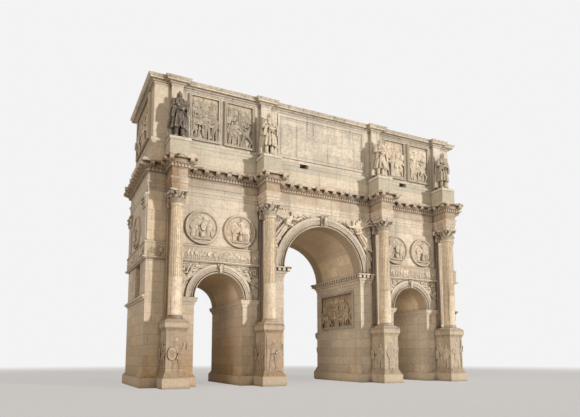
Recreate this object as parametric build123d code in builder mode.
from build123d import *
import math
import os

os.makedirs("parts", exist_ok=True)

# Driving dimensions in mm. X runs along the front, -Y is the front, Z is up.
# The origin is on the ground, in the middle of the plan.
body_d = 6750

# Passages and the piers between them
central_span = 6500
side_span = 3360
inner_pier_w = 3070
outer_pier_w = 3136
side_bay_x = central_span / 2 + inner_pier_w + side_span / 2
body_w = 2 * (side_bay_x + side_span / 2 + outer_pier_w)

# The attic stands a little inside the body
attic_end_set_back = 211
attic_face_set_back = 50
attic_w = body_w - 2 * attic_end_set_back
attic_d = body_d - 2 * attic_face_set_back

# Heights of the arches
side_spring = 5720
side_crown_cover = 800
central_crown_cover = 850
central_spring = side_spring + side_span / 2 + side_crown_cover
wall_top = central_spring + central_span / 2 + central_crown_cover

# Pier bases
pier_base_h = 620
pier_base_slope_h = 220
pier_base_reach = 180

# Doorway in the left end
door_w = 1800
door_h = 2250
door_y = -600
door_sill = 60
door_depth = 2000

# Columns and their pedestals
column_from_central_jamb = 1520
column_from_side_jamb = 1480
column_inner_x = central_span / 2 + column_from_central_jamb
column_outer_x = side_bay_x + side_span / 2 + column_from_side_jamb
column_out = 1020
column_r = 432
column_top_r = 378
flute_count = 20
flute_share = 0.36
cable_share = 0.34
pedestal_w = 1220
pedestal_out = 1640
pedestal_h = 4100
pedestal_foot_h = 1000
pedestal_cap_h = 660
pedestal_reach = 230
base_h = 330
capital_h = 900
abacus_w = 1180
abacus_h = 130
leaf_count = 8
leaf_w = 290
low_leaf_h = 330
high_leaf_h = 560
scroll_r = 105
scroll_w = 130
pilaster_w = 940
pilaster_out = 170

# Entablature
architrave_h = 750
frieze_h = 580
cornice_h = 750
block_w = 960
block_out = column_out + block_w / 2
cornice_reach = 620
tooth_w = 120
tooth_gap = 80
tooth_out = 45
tooth_reach = 190
tooth_band_out = 65
bracket_w = 260
bracket_gap = 400
bracket_out = 250
bracket_back_reach = 300

# Attic
attic_h = 5820
attic_wall = 900
attic_base_h = 1340
attic_base_cap_h = 360
attic_base_reach = 90
attic_cornice_h = 470
attic_cornice_reach = 490
strip_w = 760
strip_out = 270
slot_w = 700
slot_h = 360
slot_x = (-1630, 7500)
plinth_w = 1300
plinth_out = 1440
plinth_h = 1357
statue_h = 3240

# Ornament on the walls
archivolt_w = 720
side_archivolt_w = 600
ledge_gap = 30
archivolt_out = 150
impost_h = 480
impost_reach = 200
central_impost_h = 700
central_impost_reach = 280
keystone_w = 560
keystone_out = 430
band_h = 970
band_out = 120
ledge_h = 150
ledge_out = 240
roundel_r = 1130
roundel_rim = 120
roundel_out = 150
roundel_z = 10380
roundel_x = 1330
panel_w = 2200
panel_gap = 300
panel_z = 16320
panel_h = 3250
panel_out = 160
frame_w = 150
inscription_w = 7500
end_panel_w = 4600
passage_panel_w = 4900
passage_panel_h = 2900
passage_panel_z = 4150
string_h = 260
end_pilaster_w = 900
end_pilaster_out = 90
end_pilaster_inset = 80

# Levels worked out from the sizes above
frieze_z = wall_top + architrave_h
cornice_z = frieze_z + frieze_h
attic_z = cornice_z + cornice_h
attic_top = attic_z + attic_h
roof_z = attic_top - attic_cornice_h
shaft_z = pedestal_h + base_h
capital_z = wall_top - capital_h
side_crown = side_spring + side_span / 2
central_crown = central_spring + central_span / 2
ledge_z = side_crown + side_archivolt_w + ledge_gap
band_z = ledge_z + ledge_h
column_xs = (-column_outer_x, -column_inner_x, column_inner_x, column_outer_x)
front_y = -body_d / 2
attic_front_y = -attic_d / 2

# A piece on the front is modelled with its wall at Y 0, and turned round for the back.
front_spots = [Location((x, front_y, 0)) for x in column_xs]
back_spots = [Location((x, -front_y, 0), (0, 0, 180)) for x in column_xs]
both_spots = front_spots + back_spots
attic_spots = [Location((x, attic_front_y, 0)) for x in column_xs]
attic_spots += [Location((x, -attic_front_y, 0), (0, 0, 180)) for x in column_xs]


def save(piece, name):
    piece.label = name
    export_step(piece, f"parts/{name}.step")


def copies(piece, spots):
    with BuildPart() as node:
        with Locations(*spots):
            add(piece)
    return node.part


def stack(width, depth, z, courses):
    # Courses of a moulded block: height, reach at the foot, reach at the top.
    with BuildPart() as block:
        level = z
        for height, low, high in courses:
            with BuildSketch(Plane.XY.offset(level)):
                Rectangle(width + 2 * low, depth + 2 * low)
            if low == high:
                extrude(amount=height)
            else:
                with BuildSketch(Plane.XY.offset(level + height)):
                    Rectangle(width + 2 * high, depth + 2 * high)
                loft(ruled=True)
            level += height
    return block.part


def wall_block(width, out, z, courses):
    # A moulded block that stands out from a wall at Y 0.
    with BuildPart() as block:
        add(stack(width, 2 * out, z, courses))
        split(bisect_by=Plane.XZ, keep=Keep.TOP)
    return block.part


def plain_box(x0, x1, y0, y1, z0, z1):
    with BuildPart() as block:
        with BuildSketch(Plane.XY.offset(z0)):
            with Locations(((x0 + x1) / 2, (y0 + y1) / 2)):
                Rectangle(x1 - x0, y1 - y0)
        extrude(amount=z1 - z0)
    return block.part


def framed_panel(width, height, z, out, border):
    # A raised frame around a sunk field, on a wall at Y 0.
    with BuildPart() as panel:
        with BuildSketch(Plane.XZ):
            with Locations((0, z + height / 2)):
                Rectangle(width, height)
        extrude(amount=out)
        with BuildSketch(Plane.XZ.offset(out)):
            with Locations((0, z + height / 2)):
                Rectangle(width - 2 * border, height - 2 * border)
        extrude(amount=-out * 0.55, mode=Mode.SUBTRACT)
    return panel.part


# Pedestals under the columns
foot_plinth_h = pedestal_foot_h * 0.62
foot_slope_h = pedestal_foot_h - foot_plinth_h
cap_slope_h = pedestal_cap_h * 0.35
cap_slab_h = pedestal_cap_h * 0.4
cap_top_h = pedestal_cap_h - cap_slope_h - cap_slab_h
dado_h = pedestal_h - pedestal_foot_h - pedestal_cap_h
pedestal_courses = (
    (foot_plinth_h, pedestal_reach, pedestal_reach),
    (foot_slope_h, pedestal_reach * 0.8, 30),
    (dado_h, 0, 0),
    (cap_slope_h, 20, 110),
    (cap_slab_h, 130, 130),
    (cap_top_h, 150, 60),
)
pedestal = wall_block(pedestal_w, pedestal_out, 0, pedestal_courses)
pedestals = copies(pedestal, both_spots)
save(pedestals, "pedestals")

# Piers, one mass of masonry each, with a moulded foot
pier_courses = (
    (pier_base_h, pier_base_reach, pier_base_reach),
    (pier_base_slope_h, pier_base_reach * 0.8, 0),
    (side_spring - pier_base_h - pier_base_slope_h, 0, 0),
)
side_inner_x = side_bay_x - side_span / 2
side_outer_x = side_bay_x + side_span / 2
inner_pier_x = (side_inner_x + central_span / 2) / 2
outer_pier_x = (side_outer_x + body_w / 2) / 2
piers = (
    ("pier_left_outer", -outer_pier_x, outer_pier_w),
    ("pier_left_inner", -inner_pier_x, inner_pier_w),
    ("pier_right_inner", inner_pier_x, inner_pier_w),
    ("pier_right_outer", outer_pier_x, outer_pier_w),
)
for name, x, width in piers:
    with BuildPart() as pier:
        with Locations((x, 0, 0)):
            add(stack(width, body_d, 0, pier_courses))
        add(pedestals, mode=Mode.SUBTRACT)
    save(pier.part, name)

# Vaults over the side passages
for side, name in ((-1, "side_vault_left"), (1, "side_vault_right")):
    with BuildPart() as vault:
        x_ends = sorted((side * central_span / 2, side * body_w / 2))
        add(plain_box(*x_ends, front_y, -front_y, side_spring, central_spring))
        with BuildSketch(Plane.XZ.offset(-front_y)):
            with Locations((side * side_bay_x, side_spring)):
                Circle(side_span / 2)
        extrude(amount=-body_d, mode=Mode.SUBTRACT)
        if side < 0:
            with BuildSketch(Plane.XY.offset(side_spring + door_sill)):
                with Locations((-body_w / 2 + door_depth / 2, door_y)):
                    Rectangle(door_depth, door_w)
            extrude(amount=door_h, mode=Mode.SUBTRACT)
    save(vault.part, name)

# Upper wall with the vault over the central passage
with BuildPart() as upper_wall:
    add(plain_box(-body_w / 2, body_w / 2, front_y, -front_y, central_spring, wall_top))
    with BuildSketch(Plane.XZ.offset(-front_y)):
        with Locations((0, central_spring)):
            Circle(central_span / 2)
    extrude(amount=-body_d, mode=Mode.SUBTRACT)
save(upper_wall.part, "upper_wall")

# Masonry behind the entablature, which is also the attic floor
core = plain_box(-body_w / 2, body_w / 2, front_y, -front_y, wall_top, attic_z)
save(core, "entablature_core")

# Column bases: a square plinth, two rolls and a hollow between them
base_half = column_r * 1.32
low_roll_r = column_r * 1.2
high_roll_r = column_r * 1.1
hollow_r = column_r * 1.04
base_plinth_h = base_h * 0.3
low_roll_z = pedestal_h + base_plinth_h
low_roll_top = low_roll_z + base_h * 0.32
high_roll_z = low_roll_top + base_h * 0.16
with BuildPart() as column_base:
    with BuildSketch(Plane.XY.offset(pedestal_h)):
        Rectangle(2 * base_half, 2 * base_half)
    extrude(amount=base_plinth_h)
    with BuildSketch(Plane.XZ):
        with BuildLine():
            Line((0, low_roll_z), (low_roll_r, low_roll_z))
            Bezier((low_roll_r, low_roll_z), (base_half, (low_roll_z + low_roll_top) / 2), (low_roll_r, low_roll_top))
            Bezier((low_roll_r, low_roll_top), (hollow_r, low_roll_top), (high_roll_r, high_roll_z))
            Bezier((high_roll_r, high_roll_z), (low_roll_r, (high_roll_z + shaft_z) / 2), (high_roll_r, shaft_z))
            Line((high_roll_r, shaft_z), (0, shaft_z))
            Line((0, shaft_z), (0, low_roll_z))
        make_face()
    revolve(axis=Axis.Z)
column_spots = [spot * Location((0, -column_out, 0)) for spot in both_spots]
save(copies(column_base.part, column_spots), "column_bases")

# Column shafts: a smooth lower third with filled flutes, then open flutes on a slight taper
shaft_h = capital_z - shaft_z
cable_h = shaft_h * cable_share
cable_top_r = column_r - (column_r - column_top_r) * cable_share
collar_h = 90


def fluted_disc(radius):
    flute_r = math.pi * radius / flute_count * (1 - flute_share)
    Circle(radius)
    with PolarLocations(radius, flute_count):
        Circle(flute_r, mode=Mode.SUBTRACT)


with BuildPart() as shaft:
    with BuildSketch(Plane.XY.offset(shaft_z)):
        Circle(column_r)
    with BuildSketch(Plane.XY.offset(shaft_z + cable_h)):
        Circle(cable_top_r)
    loft(ruled=True)
    with BuildSketch(Plane.XY.offset(shaft_z + cable_h)):
        fluted_disc(cable_top_r)
    with BuildSketch(Plane.XY.offset(capital_z - collar_h)):
        fluted_disc(column_top_r)
    loft(ruled=True)
    with BuildSketch(Plane.XY.offset(capital_z - collar_h)):
        Circle(column_top_r * 1.06)
    extrude(amount=collar_h)
save(copies(shaft.part, column_spots), "column_shafts")

# Capitals: a flaring bell in two rows of leaves, a scroll under each corner, and a slab
# with hollowed sides
bell_h = capital_h - abacus_h
bell_z = capital_z + bell_h
bell_top_r = abacus_w * 0.42
abacus_bow = abacus_w * 0.1
abacus_corner = abacus_w / 2 * 0.86


def leaf(height, root_r, tip_r):
    # Seen from the side it climbs the bell, thins and leans out. Seen from the front it
    # widens to three lobes on each edge and ends in a blunt tip.
    foot_r = column_top_r * 0.8
    back_r = (root_r + tip_r) / 2
    with BuildPart() as blade:
        with BuildSketch(Plane.YZ.offset(-leaf_w / 2)):
            with BuildLine():
                Polyline(
                    (foot_r, 0), (root_r, 0), (root_r * 1.02, height * 0.6), (tip_r * 0.97, height * 0.84),
                    (tip_r, height * 0.9), (back_r, height), (root_r * 0.93, height * 0.9),
                    (foot_r, height * 0.6), close=True,
                )
            make_face()
        extrude(amount=leaf_w)
        with BuildSketch(Plane.XZ):
            with BuildLine():
                edge = (
                    (0, 0), (0.3, 0), (0.4, 0.2), (0.34, 0.3), (0.5, 0.45), (0.42, 0.55),
                    (0.46, 0.74), (0.32, 0.8), (0.26, 0.96), (0, 1),
                )
                Polyline(*[(x * leaf_w, z * height) for x, z in edge])
                mirror(about=Plane.YZ)
            make_face()
        extrude(amount=-tip_r * 1.2, mode=Mode.INTERSECT)
    return blade.part


def corner_scroll():
    # A stalk that leaves the bell and rolls up under the corner of the slab
    centre_r = abacus_corner * math.sqrt(2) - scroll_r
    centre_z = bell_h - scroll_r
    with BuildPart() as scroll:
        with BuildSketch(Plane.YZ.offset(-scroll_w / 2)):
            with BuildLine():
                Line((column_top_r * 0.8, bell_h * 0.35), (column_top_r * 1.1, bell_h * 0.4))
                Bezier(
                    (column_top_r * 1.1, bell_h * 0.4),
                    (column_top_r * 1.15, bell_h * 0.8),
                    (centre_r, centre_z + scroll_r * 0.6),
                )
                Line((centre_r, centre_z + scroll_r * 0.6), (centre_r, centre_z + scroll_r))
                Bezier(
                    (centre_r, centre_z + scroll_r),
                    (column_top_r * 0.9, bell_h),
                    (column_top_r * 0.8, bell_h * 0.35),
                )
            make_face()
            with Locations((centre_r, centre_z)):
                Circle(scroll_r)
        extrude(amount=scroll_w)
        eye_plane = Plane.YZ.offset(-scroll_w / 2 - 1)
        with BuildSketch(eye_plane):
            with Locations((centre_r, centre_z)):
                Circle(scroll_r * 0.72)
                Circle(scroll_r * 0.3, mode=Mode.SUBTRACT)
        extrude(amount=scroll_w * 0.2, mode=Mode.SUBTRACT)
        with BuildSketch(Plane.YZ.offset(scroll_w / 2 + 1)):
            with Locations((centre_r, centre_z)):
                Circle(scroll_r * 0.72)
                Circle(scroll_r * 0.3, mode=Mode.SUBTRACT)
        extrude(amount=-scroll_w * 0.2, mode=Mode.SUBTRACT)
    return scroll.part


low_leaf = leaf(low_leaf_h, column_top_r * 1.1, column_top_r * 1.32)
high_leaf = leaf(high_leaf_h, column_top_r * 1.12, column_top_r * 1.42)
scroll = corner_scroll()
with BuildPart() as capital:
    with BuildSketch(Plane.XZ):
        with BuildLine():
            Polyline(
                (0, capital_z), (column_top_r, capital_z), (column_top_r * 1.03, capital_z + bell_h * 0.5),
                (bell_top_r * 0.9, capital_z + bell_h * 0.85), (bell_top_r, bell_z), (0, bell_z), close=True,
            )
        make_face()
    revolve(axis=Axis.Z)
    with Locations((0, 0, capital_z)):
        with PolarLocations(0, leaf_count):
            add(low_leaf)
        with PolarLocations(0, leaf_count, start_angle=180 / leaf_count):
            add(high_leaf)
        with PolarLocations(0, 4, start_angle=45):
            add(scroll)
    with BuildSketch(Plane.XY.offset(bell_z)):
        with BuildLine():
            half = abacus_w / 2
            for turn in range(4):
                start = Vector(-abacus_corner, -half).rotate(Axis.Z, 90 * turn)
                middle = Vector(0, abacus_bow - half).rotate(Axis.Z, 90 * turn)
                end = Vector(abacus_corner, -half).rotate(Axis.Z, 90 * turn)
                cut_end = Vector(half, -abacus_corner).rotate(Axis.Z, 90 * turn)
                ThreePointArc(start, middle, end)
                Line(end, cut_end)
        make_face()
    extrude(amount=abacus_h)
save(copies(capital.part, column_spots), "capitals")

# Flat pilasters on the wall behind the columns
pilaster_foot_h = base_h
pilaster_courses = (
    (pilaster_foot_h * 0.4, 60, 60),
    (pilaster_foot_h * 0.6, 60, 0),
    (capital_z - shaft_z, 0, 0),
    (bell_h, 0, 120),
    (abacus_h, 140, 140),
)
pilaster = wall_block(pilaster_w, pilaster_out, pedestal_h, pilaster_courses)
save(copies(pilaster, both_spots), "pilasters")

# Entablature blocks that break forward over the columns
architrave_courses = (
    (architrave_h * 0.24, 0, 0),
    (architrave_h * 0.28, 25, 25),
    (architrave_h * 0.3, 50, 50),
    (architrave_h * 0.18, 60, 130),
)
frieze_courses = ((frieze_h, 20, 20),)
cornice_foot_h = cornice_h * 0.08
tooth_h = cornice_h * 0.24
cornice_wave_h = cornice_h * 0.08
bracket_h = cornice_h * 0.34
cornice_crest_h = cornice_h * 0.26
tooth_back_reach = tooth_reach - tooth_band_out
cornice_courses = (
    (cornice_foot_h, 40, 90),
    (tooth_h, tooth_back_reach, tooth_back_reach),
    (cornice_wave_h, 200, 260),
    (bracket_h, bracket_back_reach, bracket_back_reach),
    (cornice_crest_h, cornice_reach - 90, cornice_reach),
)
entablature_courses = architrave_courses + frieze_courses + cornice_courses
column_entablature = wall_block(block_w, block_out, wall_top, entablature_courses)
front_entablatures = copies(column_entablature, front_spots)
back_entablatures = copies(column_entablature, back_spots)
save(front_entablatures, "column_entablatures_front")
save(back_entablatures, "column_entablatures_back")

# Courses of the entablature along the walls, between and beside those blocks
wall_courses = (
    ("architrave", wall_top, architrave_courses),
    ("frieze", frieze_z, frieze_courses),
    ("cornice", cornice_z, cornice_courses),
)
for name, level, courses in wall_courses:
    with BuildPart() as course:
        add(stack(body_w, body_d, level, courses))
        add(core, mode=Mode.SUBTRACT)
        add(front_entablatures, mode=Mode.SUBTRACT)
        add(back_entablatures, mode=Mode.SUBTRACT)
    save(course.part, name)



# Teeth and brackets under the cornice. They follow its plan round every column block.
def cornice_plan(reach):
    Rectangle(body_w + 2 * reach, body_d + 2 * reach)
    with Locations(*[(x, 0) for x in column_xs]):
        Rectangle(block_w + 2 * reach, body_d + 2 * block_out + 2 * reach)


def spread(length, piece_w, gap):
    # Middles of evenly spaced pieces along a run, from its own middle
    count = max(int((length + gap) / (piece_w + gap)), 1)
    pitch = (length - piece_w) / (count - 1) if count > 1 else 0
    return [(index - (count - 1) / 2) * pitch for index in range(count)]


def cornice_runs(reach, inner_gap):
    # Each straight run of the plan: its turn, its distance from the middle, its start and
    # its end. A run stops short of an inner corner by the gap.
    wall_far = body_d / 2 + reach
    half = block_w / 2 + reach
    runs = []
    for turn in (0, 180):
        starts = [-body_w / 2 - reach] + [x + half + inner_gap for x in column_xs]
        ends = [x - half - inner_gap for x in column_xs] + [body_w / 2 + reach]
        runs += [(turn, wall_far, start, end) for start, end in zip(starts, ends)]
        for x in column_xs:
            runs.append((turn, wall_far + block_out, x - half, x + half))
            near, far = wall_far + inner_gap, wall_far + block_out
            runs.append((turn - 90, half - x, near, far))
            runs.append((turn + 90, half + x, -far, -near))
    for turn in (-90, 90):
        runs.append((turn, body_w / 2 + reach, -wall_far, wall_far))
    return runs


def run_spots(reach, inner_gap, piece_w, gap):
    spots = []
    for turn, far, start, end in cornice_runs(reach, inner_gap):
        for shift in spread(end - start, piece_w, gap):
            middle = (start + end) / 2 + shift
            spots.append(Location((0, 0, 0), (0, 0, turn)) * Location((middle, -far, 0)))
    return spots


tooth_z = cornice_z + cornice_foot_h
bracket_z = tooth_z + tooth_h + cornice_wave_h
notch_spots = run_spots(tooth_reach, tooth_w, tooth_gap, tooth_w)
with BuildPart() as teeth:
    with BuildSketch(Plane.XY.offset(tooth_z)):
        cornice_plan(tooth_reach)
        with Locations(*notch_spots):
            Rectangle(tooth_gap, 2 * tooth_out, mode=Mode.SUBTRACT)
        with BuildSketch(Plane.XY.offset(tooth_z), mode=Mode.SUBTRACT):
            cornice_plan(tooth_back_reach)
    extrude(amount=tooth_h)
with BuildPart() as bracket:
    with BuildSketch(Plane.YZ.offset(-bracket_w / 2)):
        with BuildLine():
            Line((0, bracket_z), (0, bracket_z + bracket_h))
            Line((0, bracket_z + bracket_h), (-bracket_out, bracket_z + bracket_h))
            Line((-bracket_out, bracket_z + bracket_h), (-bracket_out, bracket_z + bracket_h * 0.6))
            Bezier(
                (-bracket_out, bracket_z + bracket_h * 0.6),
                (-bracket_out, bracket_z + bracket_h * 0.1),
                (-bracket_out * 0.55, bracket_z + bracket_h * 0.35),
                (-bracket_out * 0.35, bracket_z),
                (0, bracket_z),
            )
        make_face()
    extrude(amount=bracket_w)
bracket_spots = run_spots(bracket_back_reach, bracket_out + tooth_band_out, bracket_w, bracket_gap)
brackets = [bracket.part.moved(spot) for spot in bracket_spots]
save(Compound(children=[teeth.part] + brackets), "cornice_brackets")
print("brackets", len(brackets), "notches", len(notch_spots))

# Attic: walls around a hollow room. The long walls are a foot course, a course that the
# slots part into three blocks, and the wall above.
inner_w = attic_w - 2 * attic_wall
inner_d = attic_d - 2 * attic_wall
slot_z = attic_z + attic_base_h + attic_base_cap_h / 2
slot_low_z = slot_z - slot_h / 2
slot_high_z = slot_z + slot_h / 2
feet = []
slot_blocks = []
for side, name in ((-1, "attic_wall_front"), (1, "attic_wall_back")):
    near, far = sorted((side * inner_d / 2, side * attic_d / 2))
    feet.append(plain_box(-attic_w / 2, attic_w / 2, near, far, attic_z, slot_low_z))
    block_start = -attic_w / 2
    for x in sorted(-side * x for x in slot_x):
        slot_start = x - slot_w / 2
        slot_blocks.append(plain_box(block_start, slot_start, near, far, slot_low_z, slot_high_z))
        block_start = x + slot_w / 2
    slot_blocks.append(plain_box(block_start, attic_w / 2, near, far, slot_low_z, slot_high_z))
    save(plain_box(-attic_w / 2, attic_w / 2, near, far, slot_high_z, roof_z), name)
save(Compound(children=feet), "attic_wall_feet")
save(Compound(children=slot_blocks), "attic_slot_courses")
for side, name in ((-1, "attic_wall_left"), (1, "attic_wall_right")):
    near, far = sorted((side * inner_w / 2, side * attic_w / 2))
    save(plain_box(near, far, -inner_d / 2, inner_d / 2, attic_z, roof_z), name)

# Blocks that carry the statues
plinth_courses = (
    (plinth_h * 0.86, 0, 0),
    (plinth_h * 0.14, 45, 45),
)
statue_plinth = wall_block(plinth_w, plinth_out, attic_z, plinth_courses)
statue_plinths = copies(statue_plinth, attic_spots)
save(statue_plinths, "statue_plinths")

# Flat strips behind the statues
strip = wall_block(strip_w, strip_out, attic_z + plinth_h, ((roof_z - attic_z - plinth_h, 0, 0),))
strips = copies(strip, attic_spots)
save(strips, "attic_strips")

# Foot of the attic walls
attic_base_courses = (
    (attic_base_h, attic_base_reach, attic_base_reach),
    (attic_base_cap_h * 0.25, attic_base_reach, attic_base_reach + 60),
    (attic_base_cap_h * 0.5, attic_base_reach + 60, attic_base_reach + 60),
    (attic_base_cap_h * 0.25, attic_base_reach + 60, 20),
)
with BuildPart() as attic_base:
    add(stack(attic_w, attic_d, attic_z, attic_base_courses))
    add(plain_box(-attic_w / 2, attic_w / 2, attic_front_y, -attic_front_y, attic_z, roof_z), mode=Mode.SUBTRACT)
    add(statue_plinths, mode=Mode.SUBTRACT)
    add(strips, mode=Mode.SUBTRACT)
    for side in (-1, 1):
        with BuildSketch(Plane.XZ.offset(side * attic_d / 2)):
            with Locations(*[(side * x, slot_z) for x in slot_x]):
                Rectangle(slot_w, slot_h)
        extrude(amount=side * 2 * attic_base_reach, mode=Mode.SUBTRACT)
save(attic_base.part, "attic_base")

# Crowning cornice of the attic, with the roof slab inside it
crown_courses = (
    (attic_cornice_h * 0.24, 30, 60),
    (attic_cornice_h * 0.2, 120, 200),
    (attic_cornice_h * 0.26, attic_cornice_reach - 130, attic_cornice_reach - 130),
    (attic_cornice_h * 0.3, attic_cornice_reach - 110, attic_cornice_reach),
)
roof_drop = 60
with BuildPart() as attic_cornice:
    add(stack(attic_w, attic_d, roof_z, crown_courses))
    crown_block = wall_block(strip_w, strip_out, roof_z, crown_courses)
    with Locations(*attic_spots):
        add(crown_block)
    add(plain_box(-inner_w / 2, inner_w / 2, -inner_d / 2, inner_d / 2, roof_z, attic_top), mode=Mode.SUBTRACT)
save(attic_cornice.part, "attic_cornice")
roof = plain_box(-inner_w / 2, inner_w / 2, -inner_d / 2, inner_d / 2, roof_z, attic_top - roof_drop)
save(roof, "attic_roof")

# Statues: a figure in boots, a belted tunic, a long cloak and a soft cap, with the forearms
# folded at the waist, on a slab of its own
statue_z = attic_z + plinth_h
slab_h = statue_h * 0.043
slab_w = statue_h * 0.29
slab_d = statue_h * 0.23
head_r = statue_h * 0.058
limb_r = statue_h * 0.042
joint_share = 1.12
tunic_sections = ((0.22, 0.16, 0.115), (0.4, 0.15, 0.11), (0.57, 0.12, 0.09))
chest_sections = ((0.56, 0.11, 0.085), (0.7, 0.14, 0.1), (0.8, 0.145, 0.09), (0.86, 0.05, 0.047))
cloak_back = statue_h * 0.012
cloak_sections = ((0.03, 0.2, 0.13), (0.5, 0.185, 0.12), (0.78, 0.165, 0.105), (0.855, 0.08, 0.07))


def statue_point(x, y, z):
    return Vector(x * statue_h, y * statue_h, statue_z + z * statue_h)


def limb(start, end, start_r, end_r):
    start, end = statue_point(*start), statue_point(*end)
    along = end - start
    with Locations(Plane(origin=(start + end) / 2, z_dir=along).location):
        Cone(start_r, end_r, along.length)
    with Locations(end):
        Sphere(end_r * joint_share)


def oval_loft(sections):
    with BuildPart() as garment:
        for share, half_w, half_d in sections:
            with BuildSketch(Plane.XY.offset(statue_z + share * statue_h)):
                Ellipse(half_d * statue_h, half_w * statue_h, rotation=90)
        loft(ruled=True)
    return garment.part


with BuildPart() as cloak:
    add(oval_loft(cloak_sections))
    split(bisect_by=Plane.XZ.offset(-cloak_back), keep=Keep.BOTTOM)
with BuildPart() as capped_head:
    neck_r, jaw_z, brow_z = 0.044 * statue_h, statue_z + 0.88 * statue_h, statue_z + 0.945 * statue_h
    with BuildSketch(Plane.XZ):
        with BuildLine():
            Line((0, jaw_z - 1.5 * head_r), (neck_r, jaw_z - 1.5 * head_r))
            Line((neck_r, jaw_z - 1.5 * head_r), (neck_r * 0.9, jaw_z))
            Bezier((neck_r * 0.9, jaw_z), (head_r * 1.1, jaw_z), (head_r, brow_z))
            Line((head_r, brow_z), (head_r * 1.12, brow_z))
            Bezier(
                (head_r * 1.12, brow_z),
                (head_r * 0.8, statue_z + statue_h),
                (0, statue_z + statue_h),
            )
            Line((0, statue_z + statue_h), (0, jaw_z - 1.5 * head_r))
        make_face()
    revolve(axis=Axis.Z)
with BuildPart() as statue:
    with BuildSketch(Plane.XY.offset(statue_z)):
        Rectangle(slab_w, slab_d)
    extrude(amount=slab_h)
    add(oval_loft(tunic_sections))
    add(oval_loft(chest_sections))
    add(cloak.part)
    for side in (-1, 1):
        limb((0.06 * side, -0.01, 0.4), (0.075 * side, -0.01, 0.07), limb_r * 1.4, limb_r)
        limb((0.077 * side, -0.012, 0.075), (0.085 * side, -0.085, 0.06), limb_r * 0.9, limb_r * 0.8)
        limb((0.13 * side, 0, 0.8), (0.18 * side, -0.02, 0.63), limb_r * 1.1, limb_r)
        hand = (-0.03 * side, -0.16, 0.62 + 0.036 * side)
        limb((0.182 * side, -0.03, 0.628), hand, limb_r * 0.92, limb_r * 0.75)
    add(capped_head.part)
statue_out = plinth_out / 2 + 130
statue_spots = [spot * Location((0, -statue_out, 0)) for spot in attic_spots]
save(copies(statue.part, statue_spots), "statues")

# Moulded rings around the arches, front and back
face_spots = [Location((0, front_y, 0)), Location((0, -front_y, 0), (0, 0, 180))]


def archivolt(span, z, width):
    steps = ((1.0, 0.5), (0.72, 0.75), (0.3, 1.0))
    radius = span / 2
    with BuildPart() as ring:
        for share, out in steps:
            with BuildSketch(Plane.XZ):
                with Locations((0, z)):
                    Circle(radius + width)
                    Circle(radius + width * (1 - share), mode=Mode.SUBTRACT)
                with Locations((0, z - radius - width)):
                    Rectangle(3 * radius + 3 * width, 2 * (radius + width), mode=Mode.SUBTRACT)
            extrude(amount=archivolt_out * out)
    return ring.part


central_ring = archivolt(central_span, central_spring, archivolt_w)
side_ring = archivolt(side_span, side_spring, side_archivolt_w)


def keystone(z, height, width, out):
    # A scroll bracket: a wide head, a hollow neck and a rolled foot.
    with BuildPart() as stone:
        with BuildSketch(Plane.YZ.offset(-width / 2)):
            with BuildLine():
                Line((0, z), (-out * 0.42, z))
                Bezier(
                    (-out * 0.42, z),
                    (-out * 0.75, z + height * 0.14),
                    (-out * 0.5, z + height * 0.3),
                )
                Bezier(
                    (-out * 0.5, z + height * 0.3),
                    (-out * 0.45, z + height * 0.75),
                    (-out, z + height),
                )
                Line((-out, z + height), (0, z + height))
                Line((0, z + height), (0, z))
            make_face()
        extrude(amount=width)
    return stone.part


central_key = keystone(central_crown, wall_top - central_crown, keystone_w, keystone_out)
side_key_w = keystone_w * 0.7
side_key = keystone(side_crown, ledge_z - side_crown, side_key_w, keystone_out * 0.7)
side_face_spots = [
    spot * Location((side * side_bay_x, 0, 0)) for spot in face_spots for side in (-1, 1)
]
central_keys = copies(central_key, face_spots)
side_keys = copies(side_key, side_face_spots)
with BuildPart() as keystones:
    add(central_keys)
    add(side_keys)
save(keystones.part, "keystones")
with BuildPart() as central_archivolts:
    add(copies(central_ring, face_spots))
    add(central_keys, mode=Mode.SUBTRACT)
save(central_archivolts.part, "central_archivolts")
with BuildPart() as side_archivolts:
    add(copies(side_ring, side_face_spots))
    add(side_keys, mode=Mode.SUBTRACT)
save(side_archivolts.part, "side_archivolts")


# Imposts, the moulded bands at the foot of each arch. They run through the
# passage and turn onto both faces as far as the pilasters.
def impost(jamb_x, stop_x, top_z, height, reach):
    courses = (
        (height * 0.35, reach * 0.15, reach * 0.3),
        (height * 0.2, reach * 0.55, reach * 0.7),
        (height * 0.3, reach * 0.85, reach * 0.85),
        (height * 0.15, reach, reach),
    )
    x0, x1 = sorted((jamb_x, stop_x))
    with BuildPart() as band:
        with Locations((stop_x, 0, 0)):
            add(stack(2 * (x1 - x0), body_d, top_z - height, courses))
        add(plain_box(x0, x1, front_y, -front_y, 0, wall_top), mode=Mode.SUBTRACT)
        away = Keep.TOP if jamb_x > stop_x else Keep.BOTTOM
        split(bisect_by=Plane.YZ.offset(stop_x), keep=away)
    return band.part


inner_stop_x = column_inner_x + pilaster_w / 2
outer_stop_x = column_outer_x - pilaster_w / 2
central_stop_x = column_inner_x - pilaster_w / 2
with BuildPart() as side_imposts:
    for side in (-1, 1):
        add(impost(side * side_inner_x, side * inner_stop_x, side_spring, impost_h, impost_reach))
        add(impost(side * side_outer_x, side * outer_stop_x, side_spring, impost_h, impost_reach))
save(side_imposts.part, "side_imposts")
with BuildPart() as central_imposts:
    for side in (-1, 1):
        jamb_x = side * central_span / 2
        stop_x = side * central_stop_x
        add(impost(jamb_x, stop_x, central_spring, central_impost_h, central_impost_reach))
save(central_imposts.part, "central_imposts")

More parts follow.
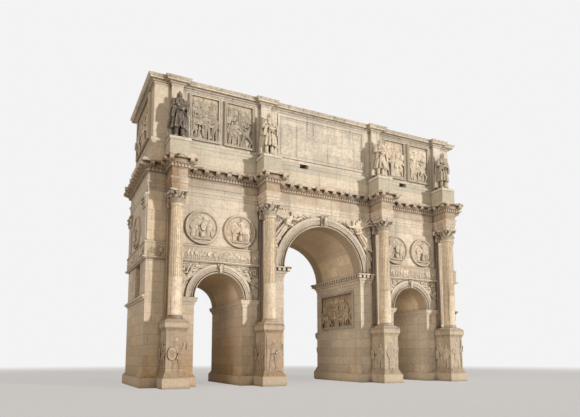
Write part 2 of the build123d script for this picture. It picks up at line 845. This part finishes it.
# Relief bands above the side arches and round the ends, each on a ledge
end_strip_w = body_w / 2 - column_outer_x - pilaster_w / 2
bay_w = outer_stop_x - inner_stop_x
bay_x = (outer_stop_x + inner_stop_x) / 2
bay_spots = [spot * Location((side * bay_x, 0, 0)) for spot in face_spots for side in (-1, 1)]
ledge_courses = (
    (ledge_h * 0.45, ledge_out * 0.4, ledge_out * 0.75),
    (ledge_h * 0.55, ledge_out, ledge_out),
)
band_courses = (
    (band_h * 0.9, band_out, band_out),
    (band_h * 0.1, band_out + 40, band_out + 40),
)


def around_ends(level, courses):
    # A course on both ends that turns onto the faces as far as the pilasters.
    with BuildPart() as course:
        add(stack(body_w, body_d, level, courses))
        add(plain_box(-body_w / 2, body_w / 2, front_y, -front_y, 0, wall_top), mode=Mode.SUBTRACT)
        add(
            plain_box(
                end_strip_w - body_w / 2, body_w / 2 - end_strip_w, -body_d, body_d, 0, wall_top
            ),
            mode=Mode.SUBTRACT,
        )
    return course.part


def in_bays(level, courses):
    # A course on both faces, between the pilasters beside each side arch.
    height = sum(course[0] for course in courses)
    with BuildPart() as bays:
        with Locations(*bay_spots):
            add(plain_box(-bay_w / 2, bay_w / 2, -body_d / 8, 0, level, level + height))
    with BuildPart() as course:
        add(stack(body_w, body_d, level, courses))
        add(bays.part, mode=Mode.INTERSECT)
    return course.part


with BuildPart() as relief_bands:
    add(around_ends(band_z, band_courses))
    add(in_bays(band_z, band_courses))
save(relief_bands.part, "relief_bands")
with BuildPart() as ledges:
    add(around_ends(ledge_z, ledge_courses))
    add(in_bays(ledge_z, ledge_courses))
save(ledges.part, "ledges")

# Plain string on the ends at the foot of the doorway
string_courses = (
    (string_h * 0.5, impost_reach * 0.3, impost_reach * 0.6),
    (string_h * 0.5, impost_reach, impost_reach),
)
with BuildPart() as end_strings:
    add(stack(body_w, body_d, side_spring - string_h, string_courses))
    add(
        plain_box(-body_w / 2, body_w / 2, -body_d, body_d, 0, wall_top), mode=Mode.SUBTRACT
    )
save(end_strings.part, "end_strings")

# Roundels: a raised rim around a sunk disc
with BuildPart() as roundel:
    with BuildSketch(Plane.XZ):
        with Locations((0, roundel_z)):
            Circle(roundel_r)
    extrude(amount=roundel_out * 0.5)
    with BuildSketch(Plane.XZ.offset(roundel_out * 0.5)):
        with Locations((0, roundel_z)):
            Circle(roundel_r)
            Circle(roundel_r - roundel_rim, mode=Mode.SUBTRACT)
    extrude(amount=roundel_out * 0.5)
roundel_spots = [
    spot * Location((shift, 0, 0)) for spot in bay_spots for shift in (-roundel_x, roundel_x)
]
end_spots = [
    Location((-body_w / 2, 0, 0), (0, 0, -90)),
    Location((body_w / 2, 0, 0), (0, 0, 90)),
]
save(copies(roundel.part, roundel_spots + end_spots), "roundels")

# Pilasters at the corners of the ends, above the relief band
end_pilaster_z = band_z + band_h
end_pilaster_courses = (
    (capital_z - end_pilaster_z, 0, 0),
    (bell_h, 0, 70),
    (abacus_h, 80, 80),
)
end_pilaster = wall_block(end_pilaster_w, end_pilaster_out, end_pilaster_z, end_pilaster_courses)
end_pilaster_shift = body_d / 2 - end_pilaster_w / 2 - end_pilaster_inset
end_pilaster_spots = [
    spot * Location((shift, 0, 0))
    for spot in end_spots
    for shift in (-end_pilaster_shift, end_pilaster_shift)
]
save(copies(end_pilaster, end_pilaster_spots), "end_pilasters")

# Framed relief panels of the attic, two in each side bay and one on each end
attic_face_spots = [
    Location((0, attic_front_y, 0)),
    Location((0, -attic_front_y, 0), (0, 0, 180)),
]
attic_panel = framed_panel(panel_w, panel_h, panel_z, panel_out, frame_w)
panel_shift = (panel_w + panel_gap) / 2
panel_spots = [
    spot * Location((side * bay_x + shift, 0, 0))
    for spot in attic_face_spots
    for side in (-1, 1)
    for shift in (-panel_shift, panel_shift)
]
save(copies(attic_panel, panel_spots), "attic_panels")
end_panel = framed_panel(end_panel_w, panel_h, panel_z, panel_out, frame_w)
attic_end_spots = [
    Location((-attic_w / 2, 0, 0), (0, 0, -90)),
    Location((attic_w / 2, 0, 0), (0, 0, 90)),
]
save(copies(end_panel, attic_end_spots), "end_panels")

# Bare inscription panels in the middle of the attic
inscription = framed_panel(inscription_w, panel_h, panel_z, panel_out * 0.5, frame_w)
save(copies(inscription, attic_face_spots), "inscription_panels")

# Framed relief panels on the jambs of the central passage
passage_panel = framed_panel(
    passage_panel_w, passage_panel_h, passage_panel_z, panel_out * 0.75, frame_w
)
passage_spots = [
    Location((central_span / 2, 0, 0), (0, 0, -90)),
    Location((-central_span / 2, 0, 0), (0, 0, 90)),
]
save(copies(passage_panel, passage_spots), "passage_panels")
